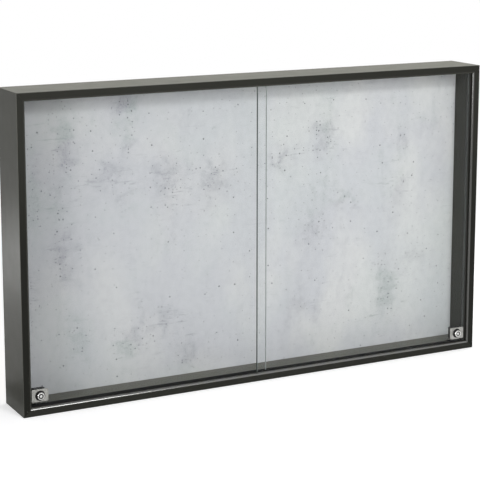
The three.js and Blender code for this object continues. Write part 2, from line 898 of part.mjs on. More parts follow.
// Tracks and what lies in them
displayCase.add(
  piece("track_bottom", track(trackWebTop, bottomRibTop, trackScrews.bottom, "down"), trackFinish),
  piece("track_top", track(topWebUnder, topRibEnd, trackScrews.top, "up"), trackFinish),
  piece("run_strip_front", runStrip(1, frontGlassFace), stripFinish),
  piece("run_strip_rear", runStrip(-1, rearGlassFace), stripFinish),
);
for (const [name, x] of trackScrewPlaces) {
  displayCase.add(
    screwPiece(`track_screw_bottom_${name}`, countersunkScrew(trackScrews.bottom), "down",
      [x, trackScrewSetback, trackWebTop]),
    screwPiece(`track_screw_top_${name}`, countersunkScrew(trackScrews.top), "up",
      [x, trackScrewSetback, topWebUnder]),
  );
}

// Channels, keepers and doors, left and right
for (const [name, side] of sides) {
  const glassFace = glassFaces[name];
  const { across, back } = keeperPlace(side, glassFace);
  displayCase.add(
    piece(`side_channel_${name}`, sideChannel(side, glassFace), channelFinish),
    piece(`keeper_${name}`, keeper(side, glassFace), steelFinish),
  );
  for (const [end, way] of [["inner", -side], ["outer", side]]) {
    displayCase.add(screwPiece(
      `keeper_screw_${name}_${end}`,
      countersunkScrew(keeperScrew),
      "down",
      [across + way * keeperScrewReach, back - keeperScrewInset, keeperTop],
    ));
  }
  const door = new THREE.Group();
  door.position.y = glassFace;
  door.add(piece(`door_glass_${name}`, doorGlass(side), glassFinish));
  const lock = new THREE.Group();
  lock.position.set(side * lockAcross, 0, lockHeight);
  addLock(lock, name, side);
  door.add(lock);
  displayCase.add(door);
}

export default displayCase;
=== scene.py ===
# Knife display case: a mitred anthracite frame round a concrete-look panel, closed by two sliding
# glass doors with key locks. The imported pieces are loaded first, and each section below finishes one
# kind of piece: its surface, its broken edges, and the small parts that sit on it.
import json
from math import copysign, cos, pi, radians, sin

import bpy
from mathutils import Matrix, Vector

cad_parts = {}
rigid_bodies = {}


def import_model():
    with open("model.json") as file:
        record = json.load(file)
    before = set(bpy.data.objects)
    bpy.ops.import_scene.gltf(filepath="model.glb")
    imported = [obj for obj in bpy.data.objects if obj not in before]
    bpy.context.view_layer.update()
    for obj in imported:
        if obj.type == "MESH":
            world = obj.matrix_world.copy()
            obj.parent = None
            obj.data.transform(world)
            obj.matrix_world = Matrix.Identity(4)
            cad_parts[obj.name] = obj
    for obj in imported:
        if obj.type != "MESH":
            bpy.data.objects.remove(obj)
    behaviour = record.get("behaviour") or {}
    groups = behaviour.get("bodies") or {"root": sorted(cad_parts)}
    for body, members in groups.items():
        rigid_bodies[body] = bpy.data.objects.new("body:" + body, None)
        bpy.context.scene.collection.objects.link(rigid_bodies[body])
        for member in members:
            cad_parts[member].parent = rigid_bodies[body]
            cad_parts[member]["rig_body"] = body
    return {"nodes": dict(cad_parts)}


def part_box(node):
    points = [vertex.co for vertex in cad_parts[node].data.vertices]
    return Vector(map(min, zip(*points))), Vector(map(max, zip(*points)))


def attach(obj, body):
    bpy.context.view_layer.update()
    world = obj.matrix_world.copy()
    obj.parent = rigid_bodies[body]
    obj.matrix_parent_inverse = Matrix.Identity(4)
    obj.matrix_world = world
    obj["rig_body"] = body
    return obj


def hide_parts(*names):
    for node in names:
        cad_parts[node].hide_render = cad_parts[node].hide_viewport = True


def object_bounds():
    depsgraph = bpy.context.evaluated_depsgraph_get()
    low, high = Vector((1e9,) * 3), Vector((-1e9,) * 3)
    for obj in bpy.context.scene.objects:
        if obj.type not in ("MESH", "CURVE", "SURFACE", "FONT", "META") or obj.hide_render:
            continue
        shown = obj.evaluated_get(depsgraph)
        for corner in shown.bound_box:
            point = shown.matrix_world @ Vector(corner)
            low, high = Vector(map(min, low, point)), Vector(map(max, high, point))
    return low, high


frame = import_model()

packed_box = [list(corner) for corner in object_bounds()]

# Studio: a pale floor that runs out into white, a white surround, six softboxes, a dark card that
# only the left side mirrors, and the camera where the photographer stood. None of it belongs to
# the case.
scene = bpy.context.scene
scene.view_settings.view_transform = "Standard"

camera_place = (-1.4131, -2.6788, 0.9484)
camera_tilt = radians(10.02)
camera_turn = radians(27.33)
camera_sensor = 36
camera_lens = 117.8
camera_shift = -0.145

camera_data = bpy.data.cameras.new("photo_camera")
camera_data.sensor_width = camera_sensor
camera_data.lens = camera_lens
camera_data.shift_y = camera_shift
camera = bpy.data.objects.new("photo_camera", camera_data)
camera.location = camera_place
camera.rotation_euler = (pi / 2 - camera_tilt, 0, -camera_turn)
scene.collection.objects.link(camera)
scene.camera = camera


def add_node(tree, kind, inputs=None, **settings):
    """A shader node with its settings, and its inputs set to values or joined to sockets."""
    made = tree.nodes.new("ShaderNode" + kind)
    for name, value in settings.items():
        setattr(made, name, value)
    for name, value in (inputs or {}).items():
        if isinstance(value, bpy.types.NodeSocket):
            tree.links.new(value, made.inputs[name])
        else:
            made.inputs[name].default_value = value
    return made


def seen_directly(tree):
    """1 for rays from the camera, from a glossy surface or through glass, and 0 for lighting rays."""
    path = add_node(tree, "LightPath")
    seen = add_node(tree, "Math", {0: path.outputs["Is Camera Ray"], 1: path.outputs["Is Glossy Ray"]},
                    operation="MAXIMUM")
    return add_node(tree, "Math", {0: seen.outputs[0], 1: path.outputs["Is Transmission Ray"]},
                    operation="MAXIMUM").outputs[0]


surround_light = (0.5, 0.5, 0.51, 1)
surround_strength = 0.8
white = (1, 1, 1, 1)
white_strength = 1

surround = bpy.data.worlds.new("white_surround")
surround.use_nodes = True
scene.world = surround
tree = surround.node_tree
tree.nodes.clear()
lighting = add_node(tree, "Background", {"Color": surround_light, "Strength": surround_strength})
backdrop = add_node(tree, "Background", {"Color": white, "Strength": white_strength})
either = add_node(tree, "MixShader", {
    0: seen_directly(tree), 1: lighting.outputs[0], 2: backdrop.outputs[0],
})
add_node(tree, "OutputWorld", {"Surface": either.outputs[0]})

floor_size = 40
floor_drop = 0.0002
floor_colour = (0.8, 0.8, 0.8, 1)
floor_lift = 0.46
floor_fade_from = 0.7
floor_fade_to = 1.9

bpy.ops.object.select_all(action="DESELECT")
bpy.ops.mesh.primitive_plane_add(size=floor_size, location=(0, 0, -floor_drop))
floor = bpy.context.object
floor.name = "studio_floor"
paper = bpy.data.materials.new("studio_paper")
paper.use_nodes = True
tree = paper.node_tree
tree.nodes.clear()
paper_light = add_node(tree, "Emission", {"Color": white, "Strength": floor_lift})
no_light = add_node(tree, "Emission", {"Color": white, "Strength": 0})
lift = add_node(tree, "MixShader", {
    0: seen_directly(tree), 1: no_light.outputs[0], 2: paper_light.outputs[0],
})
matt = add_node(tree, "BsdfDiffuse", {"Color": floor_colour})
near_paper = add_node(tree, "AddShader", {0: matt.outputs[0], 1: lift.outputs[0]})
far_paper = add_node(tree, "Emission", {"Color": white, "Strength": white_strength})
here = add_node(tree, "TexCoord")
reach = add_node(tree, "VectorMath", {0: here.outputs["Object"]}, operation="LENGTH")
fade = add_node(tree, "MapRange", {
    "Value": reach.outputs["Value"], "From Min": floor_fade_from, "From Max": floor_fade_to,
}, interpolation_type="SMOOTHSTEP")
far_seen = add_node(tree, "Math", {0: fade.outputs[0], 1: seen_directly(tree)}, operation="MULTIPLY")
run_out = add_node(tree, "MixShader", {
    0: far_seen.outputs[0], 1: near_paper.outputs[0], 2: far_paper.outputs[0],
})
add_node(tree, "OutputMaterial", {"Surface": run_out.outputs[0]})
floor.data.materials.append(paper)


def add_lamp(name, place, aim, size, power):
    """A square softbox at place that looks at aim."""
    data = bpy.data.lights.new(name, "AREA")
    data.shape = "SQUARE"
    data.size = size
    data.energy = power
    lamp = bpy.data.objects.new(name, data)
    lamp.location = place
    lamp.rotation_mode = "QUATERNION"
    lamp.rotation_quaternion = (Vector(aim) - Vector(place)).to_track_quat("-Z", "Y")
    lamp.visible_camera = False
    scene.collection.objects.link(lamp)


add_lamp("softbox_above", place=(0.32, -3.6, 2.1), aim=(0.1, 0, 0.3), size=0.5, power=50.3)
add_lamp("softbox_front", place=(0.45, -2.2, 1.02), aim=(0.3, 0, 0.3), size=0.5, power=11.5)
add_lamp("softbox_left", place=(-2.9, -1.6, 0.6), aim=(0.1, 0, 0.3), size=1.2, power=46)
add_lamp("softbox_behind", place=(-0.86, 0.72, 0.12), aim=(-0.5, 0, 0.3), size=0.16, power=0.65)
add_lamp("softbox_right", place=(2.2, 0.9, 0.7), aim=(0.5, 0, 0.3), size=0.8, power=22)
add_lamp("softbox_overhead", place=(0.45, 0.7, 2.2), aim=(0.1, 0, 0.5), size=0.8, power=7)

card_size = 0.28
card_lift = 0.0008
card_place = (-0.66, 0.02, card_lift)
card_colour = (0.01, 0.01, 0.01, 1)

bpy.ops.object.select_all(action="DESELECT")
bpy.ops.mesh.primitive_plane_add(size=card_size, location=card_place)
card = bpy.context.object
card.name = "dark_card"
card_look = bpy.data.materials.new("dark_card")
card_look.use_nodes = True
card_shader = card_look.node_tree.nodes["Principled BSDF"]
card_shader.inputs["Base Color"].default_value = card_colour
card.data.materials.append(card_look)
for ray in ("camera", "diffuse", "shadow", "transmission"):
    setattr(card, "visible_" + ray, False)

# Boards: 16 mm board, mitred, glued over loose tongues and sprayed in a satin anthracite lacquer.
# The uprights' fronts carry painted shade at the foot and painted light at the head, and the level
# boards' fronts carry painted light. The outer arris is painted lighter, a painted highlight; the
# inner faces keep more gloss, and hands have polished the inner round of the bottom and right boards.
board_colour = (0.0155, 0.0157, 0.0132)
# Painted highlight: the outer arris is coloured lighter than the rest of the lacquer
board_arris_highlight_colour = (0.05, 0.051, 0.045)
# Painted shade and light: uprights' fronts darker at the foot, lighter at the head; level fronts lighter
upright_painted_foot_shade = 0.62
upright_painted_head_light = 1.2
level_front_painted_light = 1.22
painted_fade_from = 0.3
painted_fade_to = 0.5
board_roughness = 0.36
board_inside_colour = (0.014, 0.0142, 0.0118)
board_inside_roughness = 0.32
board_round_roughness = 0.15
board_edge = 0.0003
same_place = 1e-6
same_plane = radians(0.5)


def only(piece):
    """Deselects all, then selects this piece and makes it the active one."""
    bpy.ops.object.select_all(action="DESELECT")
    piece.select_set(True)
    bpy.context.view_layer.objects.active = piece


def in_edit_mode(piece, *steps):
    """Runs mesh operators on the whole of a piece: each step is an operator and its settings."""
    only(piece)
    bpy.ops.object.mode_set(mode="EDIT")
    bpy.ops.mesh.select_all(action="SELECT")
    for operator, settings in steps:
        operator(**settings)
    bpy.ops.object.mode_set(mode="OBJECT")


def apply_modifier(piece, kind, **settings):
    made = piece.modifiers.new(kind.lower(), kind)
    for name, value in settings.items():
        setattr(made, name, value)
    only(piece)
    bpy.ops.object.modifier_apply(modifier=made.name)


def break_edges(piece, width, angle=40):
    """A small round on each sharp edge."""
    apply_modifier(piece, "BEVEL", width=width, segments=2, limit_method="ANGLE",
                   angle_limit=radians(angle), miter_outer="MITER_ARC")


def stands_for(piece, node):
    """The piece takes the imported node's place: its body and its room."""
    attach(piece, frame["nodes"][node]["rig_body"])
    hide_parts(node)
    return piece


def smooth(piece, angle=35):
    """Rounds are shaded smooth, and the flats beside them stay flat."""
    only(piece)
    bpy.ops.object.shade_smooth_by_angle(angle=radians(angle))
    apply_modifier(piece, "WEIGHTED_NORMAL", keep_sharp=True)
    return piece


def finished_copy(node, looks, edge):
    """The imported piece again, its triangles joined into whole faces and its edges broken."""
    piece = bpy.data.objects.new(node + "_finished", frame["nodes"][node].data.copy())
    scene.collection.objects.link(piece)
    in_edit_mode(
        piece,
        (bpy.ops.mesh.remove_doubles, {"threshold": same_place}),
        (bpy.ops.mesh.dissolve_limited, {"angle_limit": same_plane}),
    )
    bpy.ops.mesh.customdata_custom_splitnormals_clear()
    piece.data.materials.clear()
    for look in looks:
        piece.data.materials.append(look)
    for face in piece.data.polygons:
        face.material_index = 0
    if edge > 0:
        break_edges(piece, edge)
    return stands_for(smooth(piece), node)


def new_finish(name, colour, roughness, metallic=0.0, **sockets):
    """A material with one Principled shader, and its node tree."""
    look = bpy.data.materials.new(name)
    look.use_nodes = True
    shader = look.node_tree.nodes["Principled BSDF"]
    shader.inputs["Base Color"].default_value = (*colour, 1)
    shader.inputs["Roughness"].default_value = roughness
    shader.inputs["Metallic"].default_value = metallic
    for socket, value in sockets.items():
        shader.inputs[socket.replace("_", " ")].default_value = value
    return look, look.node_tree, shader


def pattern_noise(tree, scale, detail=3.0, roughness=0.5, distortion=0.0):
    """Noise on the piece's own metres; scale is its repeats a metre, or those along X, Y and Z."""
    scales = scale if isinstance(scale, tuple) else (scale, scale, scale)
    here = add_node(tree, "TexCoord")
    stretched = add_node(tree, "Mapping", {"Vector": here.outputs["Object"], "Scale": scales})
    return add_node(tree, "TexNoise", {
        "Vector": stretched.outputs[0], "Scale": 1, "Detail": detail,
        "Roughness": roughness, "Distortion": distortion,
    }).outputs["Fac"]


def spread(tree, value, low, high, to_low=0.0, to_high=1.0):
    """The value's stretch from low to high, laid out from to_low to to_high."""
    return add_node(tree, "MapRange", {
        "Value": value, "From Min": low, "From Max": high, "To Min": to_low, "To Max": to_high,
    }).outputs[0]


def times(tree, first, second):
    return add_node(tree, "Math", {0: first, 1: second}, operation="MULTIPLY").outputs[0]


def mixed(tree, share, first, second):
    """A colour between two colours."""
    mix = add_node(tree, "Mix", data_type="RGBA")
    for index, value in ((0, share), (6, first), (7, second)):
        if isinstance(value, bpy.types.NodeSocket):
            tree.links.new(value, mix.inputs[index])
        else:
            mix.inputs[index].default_value = value if index == 0 else (*value[:3], 1)
    return mix.outputs[2]


def shade_of(colour, share):
    return tuple(channel * share for channel in colour)


def uneven_roughness(tree, shader, pattern, smoothest, roughest):
    """The roughness follows a pattern between two values."""
    rough = spread(tree, pattern, 0.3, 0.7, to_low=smoothest, to_high=roughest)
    tree.links.new(rough, shader.inputs["Roughness"])


def add_bump(tree, shader, height, depth, strength=1.0):
    """Relief from a height between 0 and 1; depth is in metres."""
    bump = add_node(tree, "Bump", {"Height": height, "Distance": depth, "Strength": strength})
    tree.links.new(bump.outputs[0], shader.inputs["Normal"])


def lacquer(name, colour, roughness, painted_foot_shade=1, painted_head_light=1, **sockets):
    """Sprayed satin lacquer: cloudy depth of colour, faint rub marks and a fine orange peel.

    Painted shade and light: its colour goes from the foot share of it low down to the head share at the
    top.
    """
    look, tree, shader = new_finish(name, colour, roughness, **sockets)
    dark_share = 0.85
    light_share = 1.15
    speck_share = 1.5
    peel_depth = 0.00002
    clouds = pattern_noise(tree, 9, detail=4)
    specks = pattern_noise(tree, 900, detail=2)
    here = add_node(tree, "TexCoord")
    place = add_node(tree, "SeparateXYZ", {0: here.outputs["Object"]})
    # Painted shade at the foot blends into painted light at the head over the height
    rise = spread(tree, place.outputs["Z"], painted_fade_from, painted_fade_to)
    foot, head = (
        mixed(tree, clouds, shade_of(colour, dark_share * share), shade_of(colour, light_share * share))
        for share in (painted_foot_shade, painted_head_light)
    )
    shade = mixed(tree, rise, foot, head)
    speckled = mixed(tree, spread(tree, specks, 0.6, 0.75, to_high=0.2), shade,
                     shade_of(colour, speck_share))
    tree.links.new(speckled, shader.inputs["Base Color"])
    rubs = pattern_noise(tree, 30, detail=5, roughness=0.6)
    uneven_roughness(tree, shader, rubs, roughness - 0.02, roughness + 0.03)
    peel = pattern_noise(tree, 420, detail=2)
    add_bump(tree, shader, peel, peel_depth, strength=0.1)
    return look


satin = {
    "Specular_IOR_Level": 0.085, "Specular_Tint": (1, 1, 0.9, 1),
    "Sheen_Weight": 0.15, "Sheen_Roughness": 0.35, "Sheen_Tint": (1, 1, 0.72, 1),
}
polish = {"Specular_Tint": (1, 1, 0.96, 1), "Coat_Weight": 1.0, "Coat_Roughness": 0.12}
board_look = lacquer("anthracite_lacquer", board_colour, board_roughness,
                     **(satin | {"Sheen_Weight": 0.135}))
board_inside_look = lacquer("anthracite_inside", board_inside_colour, board_inside_roughness,
                            **(satin | {"Specular_IOR_Level": 0.3, "Sheen_Tint": (1, 0.99, 0.7, 1)}))
right_inside_look = lacquer("anthracite_right_inside", board_inside_colour, board_inside_roughness,
                            Specular_IOR_Level=0.2, Specular_Tint=(1, 1, 0.85, 1),
                            Sheen_Weight=0.12, Sheen_Roughness=0.35, Sheen_Tint=(1, 0.99, 0.6, 1))
# Painted highlight on the outer arris
board_arris_highlight_look = lacquer("anthracite_arris_painted_highlight", board_arris_highlight_colour, board_roughness,
                            Specular_IOR_Level=0.4, Specular_Tint=(1, 1, 0.9, 1))
# Lit and shaded copies of the lacquer for the fronts: painted shade and painted light
upright_front_painted_look = lacquer("anthracite_upright_front_painted_shade_and_light", board_colour, board_roughness,
                             upright_painted_foot_shade, upright_painted_head_light, **satin)
level_front_painted_light_look = lacquer("anthracite_level_front_painted_light", shade_of(board_colour, level_front_painted_light),
                           board_roughness, **satin)
bottom_round_look = lacquer("anthracite_bottom_round", board_inside_colour, board_round_roughness,
                            Specular_IOR_Level=1.0, Coat_IOR=1.9, **polish)
right_round_look = lacquer("anthracite_right_round", board_inside_colour, board_round_roughness,
                           Specular_IOR_Level=0.6, Coat_IOR=1.45, **polish)

mitre_gap = 0.00015
mitre_left = 0.00001
mitre_slack = 0.00002


def close_mitres(board, upright):
    """Draws the mitred ends out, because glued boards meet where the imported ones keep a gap."""
    low, high = (Vector(corner) for corner in packed_box)
    step = (mitre_gap - mitre_left) / 2 * (1 if upright else -1)
    for vertex in board.data.vertices:
        place = vertex.co
        from_side = min(place.x - low.x, high.x - place.x)
        from_level = min(place.z - low.z, high.z - place.z)
        behind = from_level - from_side if upright else from_side - from_level
        if abs(behind - mitre_gap) < mitre_slack:
            place.x -= step * copysign(1, place.x)
            place.z += step * copysign(1, place.z - (low.z + high.z) / 2)


outer_sides = {
    "board_bottom": Vector((0, 0, -1)),
    "board_top": Vector((0, 0, 1)),
    "board_left": Vector((-1, 0, 0)),
    "board_right": Vector((1, 0, 0)),
}
inside_looks = {"board_right": right_inside_look}
round_looks = {"board_bottom": bottom_round_look, "board_right": right_round_look}
plain_part, inside_part, arris_highlight_part, front_part, round_part = range(5)
leans = 0.2
for node, outer_side in outer_sides.items():
    upright = abs(outer_side.x) > leans
    board = finished_copy(node, [
        board_look, inside_looks.get(node, board_inside_look), board_arris_highlight_look,
        upright_front_painted_look if upright else level_front_painted_light_look, round_looks.get(node, board_inside_look),
    ], board_edge)
    close_mitres(board, upright)
    lengthways = Vector((0, 0, 1)) if upright else Vector((1, 0, 0))
    for face in board.data.polygons:
        outward = face.normal.dot(outer_side)
        forward = -face.normal.y
        if abs(face.normal.dot(lengthways)) > leans:
            face.material_index = front_part if forward > leans else plain_part
        elif outward < -leans:
            face.material_index = round_part if forward > leans else inside_part
        elif forward > leans:
            # The outer arris takes the painted highlight
            face.material_index = arris_highlight_part if outward > leans else front_part


# Display panel: a 6 mm board with a concrete-look laminate on its face, slid into grooves in the
# four boards. Cast-concrete clouds, air holes and trowel streaks are printed; the back is plain
# pressed hardboard.
concrete_light = (0.61, 0.613, 0.612)
concrete_cool = (0.54, 0.548, 0.57)
concrete_green = (0.55, 0.585, 0.575)
cloud_violet = (0.25, 0.25, 0.285)
cloud_green = (0.25, 0.29, 0.285)
concrete_pit = (0.1, 0.105, 0.115)
hardboard_colour = (0.4, 0.31, 0.2)
hardboard_fibre_colour = (0.25, 0.18, 0.11)
panel_roughness = 0.7
panel_edge = 0.0003
laminate = 0.0008
laminate_fade_share = 1.1
ragged_scale = 38
ragged_swing = (0.085, 0.13, 0)
cloud_rim = 1.25
cloud_core = 0.35
veil_rim = 2.4
veil_core = 0.6
veil_share = 0.22
pit_share = 0.8
# Darkness of the painted shade at the panel's left end
painted_left_shade_tone = 0.7

# Middle across, middle up, half width, half height, and strength of each cloud
clouds_on_panel = [
    (-0.385, 0.49, 0.016, 0.057, 0.8), (-0.265, 0.555, 0.02, 0.027, 1),
    (-0.265, 0.485, 0.011, 0.028, 0.6), (-0.45, 0.41, 0.026, 0.065, 0.55),
    (-0.3, 0.42, 0.026, 0.018, 0.6), (-0.405, 0.375, 0.018, 0.032, 0.5),
    (-0.39, 0.275, 0.02, 0.036, 0.8), (-0.18, 0.41, 0.024, 0.042, 0.65),
    (-0.27, 0.38, 0.016, 0.015, 0.5), (-0.08, 0.4, 0.028, 0.04, 0.65),
    (-0.37, 0.115, 0.02, 0.027, 0.5), (-0.26, 0.095, 0.024, 0.022, 0.6),
    (-0.19, 0.125, 0.02, 0.026, 0.5), (-0.135, 0.065, 0.024, 0.032, 0.65),
    (-0.23, 0.15, 0.011, 0.022, 0.45), (0.17, 0.465, 0.02, 0.036, 0.65),
    (0.065, 0.435, 0.028, 0.02, 0.65), (0.14, 0.28, 0.018, 0.046, 0.52),
    (0.32, 0.14, 0.02, 0.05, 0.75), (0.355, 0.445, 0.014, 0.026, 0.45),
    (0.345, 0.335, 0.018, 0.032, 0.4), (0.215, 0.335, 0.024, 0.013, 0.5),
    (0.39, 0.2, 0.024, 0.013, 0.35), (0.115, 0.13, 0.02, 0.015, 0.4),
    (-0.465, 0.22, 0.022, 0.05, 0.4),
]

concrete, tree, shader = new_finish("concrete_laminate", concrete_light, panel_roughness,
                                   Specular_IOR_Level=0.25)
here = add_node(tree, "TexCoord")
place = add_node(tree, "SeparateXYZ", {0: here.outputs["Object"]})
on_face = add_node(tree, "CombineXYZ", {0: place.outputs["X"], 1: place.outputs["Z"]})


def greater(tree, first, second):
    return add_node(tree, "Math", {0: first, 1: second}, operation="MAXIMUM").outputs[0]


def air_holes(tree, density, radius, share):
    """Round spots of up to radius, in metres, in a share of the cells; density is cells a metre."""
    smallest_share = 0.45
    core_share = 0.6
    cut = 0.01
    cells = add_node(tree, "TexVoronoi", {"Vector": on_face.outputs[0], "Scale": density},
                     voronoi_dimensions="2D")
    picked = add_node(tree, "SeparateColor", {0: cells.outputs["Color"]})
    rim = spread(tree, picked.outputs[1], 0, 1,
                 to_low=radius * density * smallest_share, to_high=radius * density)
    spot = spread(tree, cells.outputs["Distance"], rim, times(tree, rim, core_share))
    return times(tree, spot, spread(tree, picked.outputs[0], share + cut, share))


ragged_noise = add_node(tree, "TexNoise", {
    "Vector": on_face.outputs[0], "Scale": ragged_scale, "Detail": 5,
})
ragged_offset = add_node(tree, "VectorMath", {0: ragged_noise.outputs["Color"], 1: (0.5, 0.5, 0.5)},
                         operation="SUBTRACT")
ragged_reach = add_node(tree, "VectorMath", {0: ragged_offset.outputs[0], 1: ragged_swing},
                        operation="MULTIPLY")
ragged = add_node(tree, "VectorMath", {0: on_face.outputs[0], 1: ragged_reach.outputs[0]},
                  operation="ADD")
cloud = add_node(tree, "Value").outputs[0]
cloud.default_value = 0
veil = cloud
for across, up, half_width, half_height, strength in clouds_on_panel:
    centred = add_node(tree, "Mapping", {
        "Vector": ragged.outputs[0],
        "Location": (-across / half_width, -up / half_height, 0),
        "Scale": (1 / half_width, 1 / half_height, 0),
    })
    reach = add_node(tree, "VectorMath", {0: centred.outputs[0]}, operation="LENGTH").outputs["Value"]
    cloud = greater(tree, cloud, spread(tree, reach, cloud_rim, cloud_core, to_high=strength))
    veil = greater(tree, veil, spread(tree, reach, veil_rim, veil_core, to_high=strength))

broad = pattern_noise(tree, (3.1, 3.1, 1.6), detail=2, roughness=0.4)
tints = pattern_noise(tree, (9, 9, 5), detail=3, roughness=0.5)
wisps = pattern_noise(tree, (22, 22, 9), detail=4, roughness=0.55, distortion=0.3)
mottle = pattern_noise(tree, (75, 75, 60), detail=5, roughness=0.65)
flecks = pattern_noise(tree, (230, 230, 210), detail=4, roughness=0.65)
streaks = pattern_noise(tree, (34, 34, 240), detail=3, roughness=0.5, distortion=0.3)
streak_places = pattern_noise(tree, (15, 15, 70), detail=2)
grain = pattern_noise(tree, 1100, detail=2)
hue = pattern_noise(tree, 7, detail=1)

tone = mixed(tree, spread(tree, tints, 0.42, 0.62), concrete_cool, concrete_light)
tone = mixed(tree, spread(tree, broad, 0.45, 0.62, to_high=0.4), tone, concrete_green)
# Painted shade: the face is mixed towards a darker cool tone towards its left end
painted_left_shade = spread(tree, place.outputs["X"], -0.5, 0.1, to_low=0.63, to_high=0)
tone = mixed(tree, painted_left_shade, tone, shade_of(concrete_cool, painted_left_shade_tone))
cloud_tone = mixed(tree, spread(tree, hue, 0.48, 0.54), cloud_violet, cloud_green)
wisp = spread(tree, wisps, 0.6, 0.75, to_high=0.5)
haze = greater(tree, cloud, wisp)
haze_share = times(tree, haze, spread(tree, mottle, 0.35, 0.62, to_low=0.2, to_high=0.42))
tone = mixed(tree, times(tree, veil, veil_share), tone, cloud_tone)
tone = mixed(tree, haze_share, tone, cloud_tone)
fleck_share = times(tree, spread(tree, haze, 0.1, 0.7), spread(tree, flecks, 0.54, 0.66, to_high=0.66))
tone = mixed(tree, fleck_share, tone, cloud_tone)
streak_share = times(tree, spread(tree, streaks, 0.53, 0.64),
                     spread(tree, streak_places, 0.56, 0.65, to_high=0.44))
near_cloud = spread(tree, veil, 0.02, 0.2, to_low=0.3, to_high=1)
tone = mixed(tree, times(tree, streak_share, near_cloud), tone, cloud_tone)
tone = mixed(tree, spread(tree, mottle, 0.42, 0.66, to_high=0.11), tone, cloud_tone)
tone = mixed(tree, spread(tree, grain, 0.35, 0.65, to_high=0.09), tone, cloud_tone)
large_holes = air_holes(tree, density=27, radius=0.0022, share=0.36)
small_holes = air_holes(tree, density=61, radius=0.0013, share=0.42)
scattered = greater(tree, large_holes, times(tree, small_holes, 0.75))
cloud_holes = air_holes(tree, density=120, radius=0.0019, share=0.17)
crowded = times(tree, cloud_holes, spread(tree, veil, 0.1, 0.45))
holes = greater(tree, scattered, crowded)
tone = mixed(tree, times(tree, holes, pit_share), tone, concrete_pit)

panel_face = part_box("display_panel")[0].y
fibre = pattern_noise(tree, 620, detail=5, roughness=0.7)
hardboard = mixed(tree, spread(tree, fibre, 0.45, 0.7), hardboard_colour, hardboard_fibre_colour)
behind = spread(tree, place.outputs["Y"], panel_face + laminate,
                panel_face + laminate * laminate_fade_share)
tree.links.new(mixed(tree, behind, tone, hardboard), shader.inputs["Base Color"])
uneven_roughness(tree, shader, mottle, 0.62, 0.78)
relief = add_node(tree, "Math", {0: times(tree, mottle, 0.3), 1: holes}, operation="SUBTRACT").outputs[0]
add_bump(tree, shader, relief, depth=0.00015, strength=0.5)
finished_copy("display_panel", [concrete], panel_edge)

# Doors: 5 mm clear float glass with ground edges, one in each track, each with a hole for its lock.
# The right door runs in front of the left one, and its ground edge is painted much darker: painted shade.
glass_tint = (0.99, 0.995, 0.993)
glass_bend = 1.2
# Painted shade: the front door's ground edge and arris are coloured much darker than the rear door's
edge_front_painted_shade_tint = (0.035, 0.043, 0.038)
edge_behind_tint = (0.3, 0.33, 0.32)
arris_front_painted_shade_tint = (0.16, 0.18, 0.17)
arris_behind_tint = (0.55, 0.58, 0.57)
ground_edge_roughness = 0.3
ground_arris_roughness = 0.4
front_gloss = 0.2


def clear_glass(name, tint, bend):
    """Glass that lets the light of lamps and of pale surfaces through to what is behind it."""
    look, tree, surface = new_finish(name, tint, 0.0, Transmission_Weight=1.0, IOR=bend)
    path = add_node(tree, "LightPath")
    open_way = add_node(tree, "BsdfTransparent", {"Color": (*tint, 1)})
    for light in ("Is Diffuse Ray", "Is Glossy Ray", "Is Shadow Ray"):
        surface = add_node(tree, "MixShader", {
            0: path.outputs[light], 1: surface.outputs[0], 2: open_way.outputs[0],
        })
    tree.links.new(surface.outputs[0], tree.nodes["Material Output"].inputs["Surface"])
    return look


def ground_glass(name, tint, roughness, gloss=0.5):
    """A ground edge of the glass: a grey-green frost with fine wheel marks."""
    dark_share = 0.7
    light_share = 1.3
    look, tree, shader = new_finish(name, tint, roughness, Specular_IOR_Level=gloss)
    grind = pattern_noise(tree, 300, detail=3)
    frost = mixed(tree, grind, shade_of(tint, dark_share), shade_of(tint, light_share))
    tree.links.new(frost, shader.inputs["Base Color"])
    add_bump(tree, shader, grind, depth=0.00004, strength=0.5)
    return look


glass = clear_glass("float_glass", glass_tint, glass_bend)
edge_looks = {
    "left": ground_glass("ground_edge_behind", edge_behind_tint, ground_edge_roughness),
    "right": ground_glass("ground_edge_front_painted_shade", edge_front_painted_shade_tint, ground_edge_roughness, front_gloss),
}
arris_looks = {
    "left": ground_glass("ground_arris_behind", arris_behind_tint, ground_arris_roughness),
    "right": ground_glass("ground_arris_front_painted_shade", arris_front_painted_shade_tint, ground_arris_roughness, front_gloss),
}

pane_face = 0.99
edge_face = 0.1
edge_part = 1
arris_part = 2
for side, edge_look in edge_looks.items():
    door = finished_copy("door_glass_" + side, [glass, edge_look, arris_looks[side]], 0)
    for face in door.data.polygons:
        slant = abs(face.normal.y)
        if slant < pane_face:
            face.material_index = edge_part if slant < edge_face else arris_part

# Tracks, slip strips and side channels: black extruded plastic tracks screwed into grooves, slippery
# strips for the glass to run on, and dark anodised channels that take the closed doors' edges. The
# channels' rear lips are coloured bright, a painted highlight.
track_colour = (0.012, 0.012, 0.012)
strip_colour = (0.03, 0.03, 0.032)
channel_colour = (0.05, 0.05, 0.047)
# Painted highlight on the channels' rear lips
channel_lip_highlight_colour = (0.3, 0.3, 0.285)
track_roughness = 0.42
strip_roughness = 0.3
channel_roughness = 0.32
channel_metallic = 0.9
lip_facing = 0.9
highlight_lip_part = 1
extrusion_edge = 0.00015


